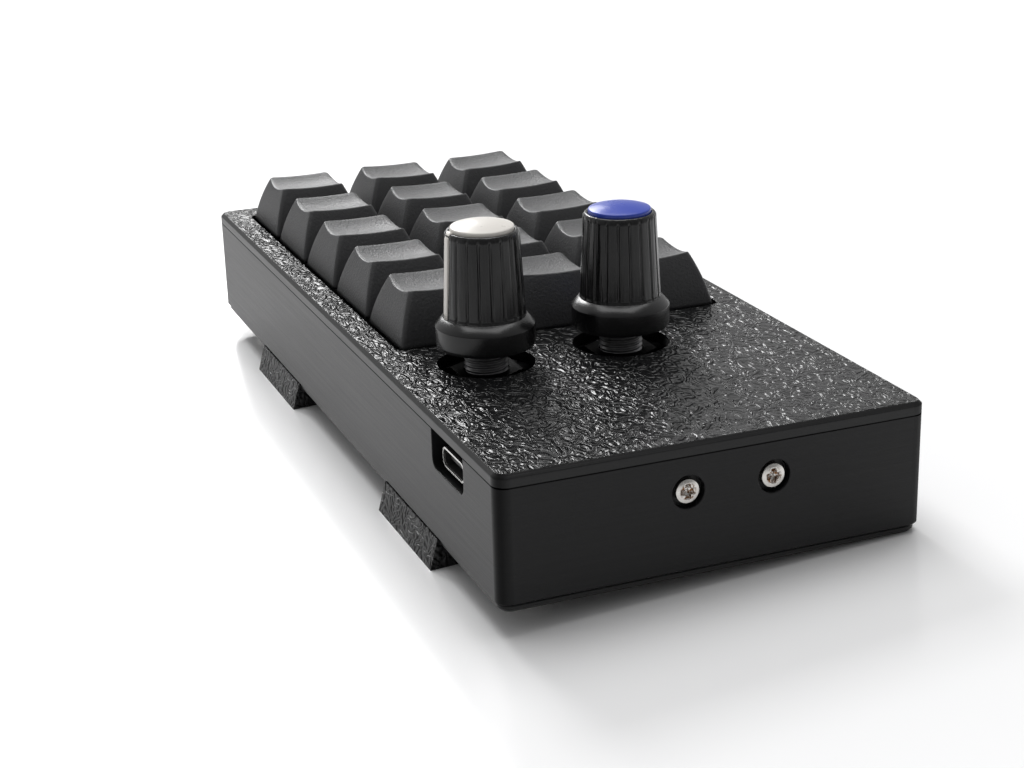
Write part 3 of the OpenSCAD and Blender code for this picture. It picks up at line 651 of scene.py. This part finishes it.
def turned(path, angles, ripple=None):
    """Turns a path (r, z) about z. ripple(r, z, angle) gives what to take off the radius."""
    r, z = path[:, 0][:, None], path[:, 1][:, None]
    angle = angles[None, :]
    radius = r - (ripple(r, z, angle) if ripple else 0) + 0 * angle
    return np.stack([radius * np.cos(angle), radius * np.sin(angle), z + 0 * angle], -1)


def round_turn(count):
    """Even angles once round."""
    return np.linspace(0, 2 * math.pi, count, endpoint=False)


def at_knob(rows, k):
    """Turns a knob's rows so that the pointer faces its way, and sets them on the knob's axis."""
    c, s = math.cos(pointer_turns[k]), math.sin(pointer_turns[k])
    x, y, z = np.moveaxis(rows, -1, 0)
    return in_place(np.stack([x * c - y * s + knob_x, x * s + y * c + knob_y[k], z + knob_low], -1))


def grooves(r, z, angle):
    """Round-bottomed grooves at even angles, that run out just above the bevel and below the rim."""
    pitch = 2 * math.pi / groove_count
    off = (np.mod(angle, pitch) - pitch / 2) * r
    shape = np.sqrt(np.clip(1 - (off / groove_half) ** 2, 0, 1))
    run_out = np.clip((z - barrel_low - groove_start) / groove_run_out, 0, 1)
    under_rim = np.clip((knob_high - groove_end - z) / groove_fade, 0, 1)
    return groove_deep * shape * run_out * under_rim


foot_path = rounded_path([
    (pole_r, recess_high), (recess_r, recess_high), (recess_r, 0), (skirt_r - knob_round, 0),
    (skirt_r, skirt_foot), (skirt_r, skirt_high), (barrel_low_r + barrel_step, barrel_low),
], knob_round)
barrel_path = np.linspace(
    (barrel_low_r, barrel_low + over_step), (barrel_top_r, knob_high - rim_round), barrel_rings)
crown_path = rounded_path([
    (barrel_top_r, knob_high - rim_round), (barrel_top_r - rim_in, knob_high),
    (seat_r, knob_high), (seat_r, knob_high - seat_deep), (pole_r, knob_high - seat_deep),
], crown_round)
knob_path = np.concatenate([foot_path, barrel_path, crown_path[1:]])
knob_rows = turned(knob_path, round_turn(groove_count * groove_steps), grooves)

sheet = new_sheet("knob_black")
point = sheet.case_point()
fine = sheet.noise(point, knob_grain, detail=2)
smudge = sheet.noise(point, knob_smudge)
streaks = sheet.noise(sheet.drawn(point, knob_streak_drawn), knob_streak, detail=2)
on_barrel = sheet.split(point)[2].above(knob_low + barrel_low + streak_low, streak_fade)
ridges = streaks * on_barrel * knob_streak_share + fine * knob_grain_share
rough = knob_rough + smudge * knob_rough_spread
knob_black = sheet.finish(knob_black_colour, rough, sheet.bump(ridges, knob_streak_deep))

for k in (0, 1):
    skin(f"knob_shell_{k + 1}", at_knob(knob_rows, k), f"dial_{k + 1}", knob_black,
         [f"knob_{k + 1}"])


# Knob caps: glossy discs with a low dome, off-white and blue. The pointer is a bar of the same
# plastic that runs from under the disc's edge down the barrel to the bevel.
cap_r = 4.95 * mm
cap_rise = 1.4 * mm
dome_share = 0.6
dome_edge = 0.9
shoulder_round = 0.3 * mm
shoulder_steps = 7
dome_rings = 9
dome_steps = 96
seat_gap = 0.05 * mm
pointer_half = 0.75 * mm
pointer_proud = 0.1 * mm
pointer_deep = 0.5 * mm
pointer_rise = 0.12 * mm
pointer_foot = 0.05 * mm
pointer_crown = 0.35 * mm
pointer_square = 0.35
pointer_sides = 24
pointer_rings = 14
cap_tone = 4 * mm
cap_fine = 0.3 * mm
cap_fine_deep = 0.004 * mm
cap_shade = 0.94
cap_gloss = 0.24
cap_gloss_spread = 0.1
cap_finishes = [("cap_white", (0.73, 0.7, 0.655)), ("cap_blue", (0.018, 0.052, 0.42))]


def dome_z(share):
    """The dome's height at a share of the cap's radius."""
    return knob_high + cap_rise * (1 - dome_share * share ** 2)


def pointer_rows():
    """A rounded bar: its section runs round in y and out, and is carried down along the barrel."""
    section = round_turn(pointer_sides)
    cos, sin = np.cos(section), np.sin(section)
    across = np.sign(cos) * np.abs(cos) ** pointer_square * pointer_half
    out = np.sign(sin) * np.abs(sin) ** pointer_square / 2 + 0.5
    steps = np.linspace(0, 1, pointer_rings)
    z = knob_high + pointer_rise - steps * (knob_high + pointer_rise - barrel_low - pointer_foot)
    r = barrel_top_r + steps * (barrel_low_r - barrel_top_r)
    crown = np.clip((z - knob_high + rim_round) / rim_round, 0, 1)
    face = r + pointer_proud - crown * pointer_crown
    thick = pointer_proud + pointer_deep
    radius = face[:, None] - thick + out[None, :] * thick
    return np.stack([radius, across[None, :] + 0 * radius, z[:, None] + 0 * radius], -1)


def cap_finish(name, colour):
    """Glossy plastic whose colour varies a little."""
    sheet = new_sheet(name)
    point = sheet.case_point()
    tone = sheet.noise(point, cap_tone)
    shade = sheet.mixed(tone, shaded(colour, cap_shade), colour)
    fine = sheet.noise(point, cap_fine, detail=2)
    return sheet.finish(shade, cap_gloss + tone * cap_gloss_spread, sheet.bump(fine, cap_fine_deep))


cap_floor = knob_high - seat_deep + seat_gap
shoulder_path = rounded_path([
    (pole_r, cap_floor), (cap_r, cap_floor), (cap_r, dome_z(1)), (cap_r * dome_edge, dome_z(dome_edge)),
], shoulder_round, shoulder_steps)
dome_x = dome_edge * np.linspace(1, 0, dome_rings)[1:-1]
dome_path = np.concatenate([shoulder_path, np.stack([cap_r * dome_x, dome_z(dome_x)], -1)])
for k, (slot, colour) in enumerate(cap_finishes):
    shells = [at_knob(turned(dome_path, round_turn(dome_steps)), k), at_knob(pointer_rows(), k)]
    skin(f"knob_top_{k + 1}", shells, f"dial_{k + 1}", cap_finish(slot, colour), [f"knob_cap_{k + 1}"])


# Encoder bushings: a die-cast cover with a turned M7 thread that carries the washer and the nut.
# The thread is a helix cut into the grey metal; the nut and the washer stay CAD nodes. The cover
# lies deep in the knob hole, and painted shade makes it near black and mirror almost nothing.
encoder_high = 4.8 * mm
cover_low = board_top + encoder_high
cover_thick = 2.15 * mm
cover_half = 5.85 * mm
cover_round = 0.5 * mm
cover_edge = 0.15 * mm
sleeve_high = 7 * mm
sleeve_low = cover_low + cover_thick
sleeve_top = sleeve_low + sleeve_high
sleeve_r = 3.5 * mm
sleeve_bore_r = 3.05 * mm
sleeve_bevel = 0.3 * mm
sleeve_edge = 0.1 * mm
thread_pitch = 0.75 * mm
thread_deep = 0.36 * mm
thread_start = 0.2 * mm
thread_stop = 0.25 * mm
thread_rings = 10
sleeve_steps = 64
bushing_dull = 1.2 * mm
sleeve_line = 0.05 * mm
hair = 0.01 * mm
cover_rough = 0.9
cover_painted_shade = 0.9
sleeve_rough = 0.35
sleeve_rough_spread = 0.1


def thread(r, z, angle):
    """A helical V groove: its depth follows how far z is from the turn's own height."""
    turn_share = np.mod(z / thread_pitch - angle / (2 * math.pi), 1)
    cut = 1 - np.abs(2 * turn_share - 1)
    threaded = (r > sleeve_r - hair) & (z > sleeve_low + thread_start) & (z < sleeve_top - sleeve_bevel)
    return thread_deep * cut * threaded


thread_z = np.arange(sleeve_low, sleeve_top - thread_stop, thread_pitch / thread_rings)
sleeve_path = np.concatenate([
    [(sleeve_bore_r, sleeve_top - sleeve_bevel), (sleeve_bore_r, cover_low + sleeve_edge)],
    [(sleeve_r, cover_low + sleeve_edge)],
    np.stack([np.full_like(thread_z, sleeve_r), thread_z], -1),
    [(sleeve_r - sleeve_bevel, sleeve_top), (sleeve_bore_r + sleeve_edge, sleeve_top)],
])
reach_x, reach_y, cos, sin = round_square(corner_points=5, side_points=2)
cover_x = reach_x * (cover_half - cover_round) + cos * cover_round
cover_y = reach_y * (cover_half - cover_round) + sin * cover_round
cover_shares = [0.3, 0.97, 1, 1, 0.97, 0.3]
cover_levels = [0, 0, cover_edge, cover_thick - cover_edge, cover_thick, cover_thick]
cover_rows = np.array([
    np.stack([cover_x * share, cover_y * share, np.full_like(cos, cover_low + level)], -1)
    for share, level in zip(cover_shares, cover_levels)
])
sleeves = []
for y in knob_y:
    place = np.array([knob_x, y, 0])
    sleeves.append(in_place(turned(sleeve_path, round_turn(sleeve_steps), thread) + place))
    sleeves.append(in_place(cover_rows + place))

sheet = new_sheet("bushing_metal")
point = sheet.case_point()
dull = sheet.noise(point, bushing_dull)
on_sleeve = sheet.split(point)[2].above(sleeve_low + sleeve_line, sleeve_line)
bright = sheet.mixed(dull, (0.16, 0.16, 0.165), (0.32, 0.32, 0.325))
# Painted shade: below the sleeve the cover is near black, and is mixed towards a black that mirrors nothing.
colour = sheet.mixed(on_sleeve, (0.004, 0.004, 0.004), bright)
rough = cover_rough - on_sleeve * (cover_rough - sleeve_rough) + dull * sleeve_rough_spread
bushing_metal = sheet.finish(colour, rough, metal=on_sleeve, dark=(1 - on_sleeve) * cover_painted_shade)
skin("threaded_bushings", sleeves, "root", bushing_metal, ["encoder_bushings"])
paint(["encoder_shaft_1", "encoder_shaft_2"], bushing_metal)


# Nuts, washers, inner screws and inserts: plated steel and brass, brushed by their making. The nuts
# and washers lie in the shade of the knob holes, and are darkened to look so.
metal_edge = 0.12 * mm
metal_tone = 0.8 * mm
brush_mark = 0.1 * mm
brush_deep = 0.002 * mm
brush_drawn = (0.1, 1, 1)
nut_dark = 0.75
metal_rough_spread = 0.1


def plated(name, low, high, rough, dark=None):
    """Metal whose colour lies between low and high, with fine marks along the case."""
    sheet = new_sheet(name)
    point = sheet.case_point()
    tone = sheet.noise(point, metal_tone)
    brushed = sheet.noise(sheet.drawn(point, brush_drawn), brush_mark, detail=2)
    normal = sheet.bump(brushed, brush_deep, sheet.soft_edges(metal_edge))
    rough = rough + tone * metal_rough_spread
    return sheet.finish(sheet.mixed(tone, low, high), rough, normal, 1, dark)


nut_steel = plated("bright_steel", (0.03, 0.03, 0.03), (0.08, 0.08, 0.08), 0.4, nut_dark)
paint(["encoder_nuts", "encoder_washers"], nut_steel)
paint(["flat_screws"], plated("screw_steel", (0.62, 0.61, 0.58), (0.8, 0.78, 0.74), 0.18))
paint(["threaded_inserts"], plated("insert_brass", (0.6, 0.42, 0.15), (0.72, 0.52, 0.22), 0.3))


# Key springs: one wound steel wire in each switch, its end turns closed.
housing_floor = 0.9 * mm
spring_base = board_top + housing_floor
spring_high = 9.1 * mm
spring_r = 1.9 * mm
wire_r = 0.2 * mm
closed_rise = 3.1 * wire_r
spring_turns = 8
turn_steps = 16
wire_sides = 6


def spring_rows():
    """Rings round the wire along its helix. The wire's end turns lie flat against each other."""
    turn = np.linspace(0, spring_turns, spring_turns * turn_steps + 1)
    levels = [wire_r, closed_rise, spring_high - closed_rise, spring_high - wire_r]
    z = np.interp(turn, [0, 1, spring_turns - 1, spring_turns], levels)
    angle = 2 * math.pi * turn
    out_way = np.stack([np.cos(angle), np.sin(angle), 0 * angle], -1)
    centre = out_way * spring_r + np.stack([0 * z, 0 * z, z], -1)
    along = np.gradient(centre, axis=0)
    along /= np.linalg.norm(along, axis=1, keepdims=True)
    up_way = np.cross(along, out_way)
    ring = round_turn(wire_sides)[None, :, None]
    return centre[:, None] + wire_r * (np.cos(ring) * out_way[:, None] + np.sin(ring) * up_way[:, None])


spring_steel = plated("spring_steel", (0.5, 0.5, 0.5), (0.6, 0.6, 0.6), 0.3)
for row, row_name in enumerate(row_leans):
    for column in range(column_count):
        place = at_key(row, column, spring_base)
        tag = f"{row_name}_{column + 1}"
        spring = skin(f"spring_{tag}", in_place(spring_rows() + place), "root", spring_steel,
                      ["key_springs"])
        tuple(-a for a in press_axis)
        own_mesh(spring)


# USB inlet: a folded steel shell in the cut-out of the back wall. Only the edge of its mouth is
# bright steel; further in, painted shade makes the shell a dull near black that is not metal.
mouth_in = 0.9 * mm
mouth_bright = 0.25 * mm
mouth_fade = 0.1 * mm
mouth_rough = 0.25
inlet_rough = 0.7
sheet = new_sheet("usb_steel")
depth = sheet.split(sheet.case_point())[1]
mouth = depth.above(case_wid / 2 - mouth_in - mouth_bright, mouth_fade)
# Painted shade: the shell inside the mouth is a dull near black.
usb_colour = sheet.mixed(mouth, (0.01, 0.01, 0.01), (0.75, 0.74, 0.72))
usb_rough = inlet_rough - mouth * (inlet_rough - mouth_rough)
paint(["usb_shell"], sheet.finish(usb_colour, usb_rough, metal=mouth))


# End screws: nickel-plated pan heads with a cross recess, round which brownish reflections are painted.
# They sit in holes in the near end wall, and their heads stand just proud of it.
screw_pitch = 13.5 * mm
screw_mid = -1.8 * mm
screw_z = 12.3 * mm
head_r = 1.8 * mm
head_dome = 0.3 * mm
head_back = -1.4 * mm
head_front = 0.05 * mm
head_rings = 34
head_steps = 96
screw_tip = -7.4 * mm
shank_r = 1.25 * mm
cross_reach = 1.2 * mm
cross_half = 0.4 * mm
cross_soft = 0.12 * mm
cross_deep = 1.0 * mm
cross_rim = 0.35
cross_end = 3
glint_size = 0.5 * mm
glint_fade = 0.3 * mm
glint_level = 0.52
glint_soft = 0.1
nickel_rough = 0.16
nickel_rough_spread = 0.1
screw_edge = 0.1 * mm


def cross_recess(x, y):
    """How deep the cross is at a point: two slots whose floors slope down to the middle."""
    across = [np.clip((cross_half - np.abs(v)) / cross_soft + 0.5, 0, 1) for v in (y, x)]
    along = [np.clip(1 - np.abs(v) / cross_reach, 0, 1) for v in (x, y)]
    ends = [np.clip(cross_end * b, 0, 1) for b in along]
    slots = [a * e * (cross_rim + (1 - cross_rim) * b) for a, e, b in zip(across, ends, along)]
    return cross_deep * np.maximum(*slots)


face_r = np.linspace(1, 0, head_rings)[:-1]
screw_path = np.concatenate([
    [(shank_r / 2, screw_tip), (shank_r, screw_tip + shank_r / 2)],
    [(shank_r, head_back), (head_r, head_back)],
    np.stack([head_r * face_r, head_front - head_dome * face_r ** 2], -1),
])
x, y, out_way = np.moveaxis(turned(screw_path, round_turn(head_steps)), -1, 0)
on_face = out_way > head_front - 1.5 * head_dome
out_way = out_way - np.where(on_face, cross_recess(x, y), 0)
screws = [
    in_place(np.stack([-case_len / 2 - out_way, x + screw_mid + side * screw_pitch / 2, screw_z - y], -1))
    for side in (-1, 1)
]

sheet = new_sheet("screw_nickel")
point = sheet.case_point()
spot_y, spot_z = sheet.split(point)[1:]
off_y = abs(spot_y - screw_mid) - screw_pitch / 2
off_z = spot_z - screw_z
from_axis = (off_y * off_y + off_z * off_z) ** 0.5
inner = 1 - from_axis.above(cross_reach, glint_fade)
# Painted reflection: brownish glints in patches near the recess, where the nickel is also rougher.
painted_glint = sheet.noise(point, glint_size, detail=2).above(glint_level, glint_soft)
nickel = sheet.mixed(painted_glint * inner, (0.72, 0.7, 0.67), (0.2, 0.1, 0.045))
screw_nickel = sheet.finish(
    nickel, nickel_rough + painted_glint * nickel_rough_spread, sheet.soft_edges(screw_edge), metal=1)
skin("end_screw_pair", screws, "root", screw_nickel, ["end_screws"])


# Inside and in the gaps: moulded black switch housings, brown stems, the boards and the chips. The
# switch plate is printed like the walls.
moulded_edge = 0.15 * mm
moulded_tone = 3 * mm
moulded_grain = 0.2 * mm
moulded_grain_deep = 0.008 * mm
moulded_shade = 0.85


def moulded(name, colour, rough, shine=0.5):
    """Plastic or lacquer whose colour varies a little, with softened edges."""
    sheet = new_sheet(name)
    point = sheet.case_point()
    tone = sheet.noise(point, moulded_tone)
    shade = sheet.mixed(tone, shaded(colour, moulded_shade), colour)
    fine = sheet.noise(point, moulded_grain, detail=2)
    normal = sheet.bump(fine, moulded_grain_deep, sheet.soft_edges(moulded_edge))
    return sheet.finish(shade, rough, normal, more={"Specular IOR Level": shine})


housings = [
    "switch_bases", "switch_tops", "header_strips", "usb_tongue", "encoder_bases",
    "encoder_rotor_1", "encoder_rotor_2",
]
paint(housings, moulded("housings", (0.014, 0.014, 0.015), 0.4))
stems = [name for name in frame["nodes"] if name.startswith("stem_")]
paint(stems, moulded("stems", (0.2, 0.075, 0.035), 0.35))
paint(["switch_plate"], printed("plate"))
# Partly its own colour, partly painted shade: the board's dark green is taken near black, with a weak
# mirror, for the shade it lies in inside the case.
paint(["circuit_board"], moulded("board", (0.004, 0.014, 0.008), 0.8, shine=0.1))
paint(["controller_board"], moulded("small_board", (0.012, 0.016, 0.05), 0.3))
paint(["controller_chips"], moulded("chips", (0.015, 0.015, 0.015), 0.35))
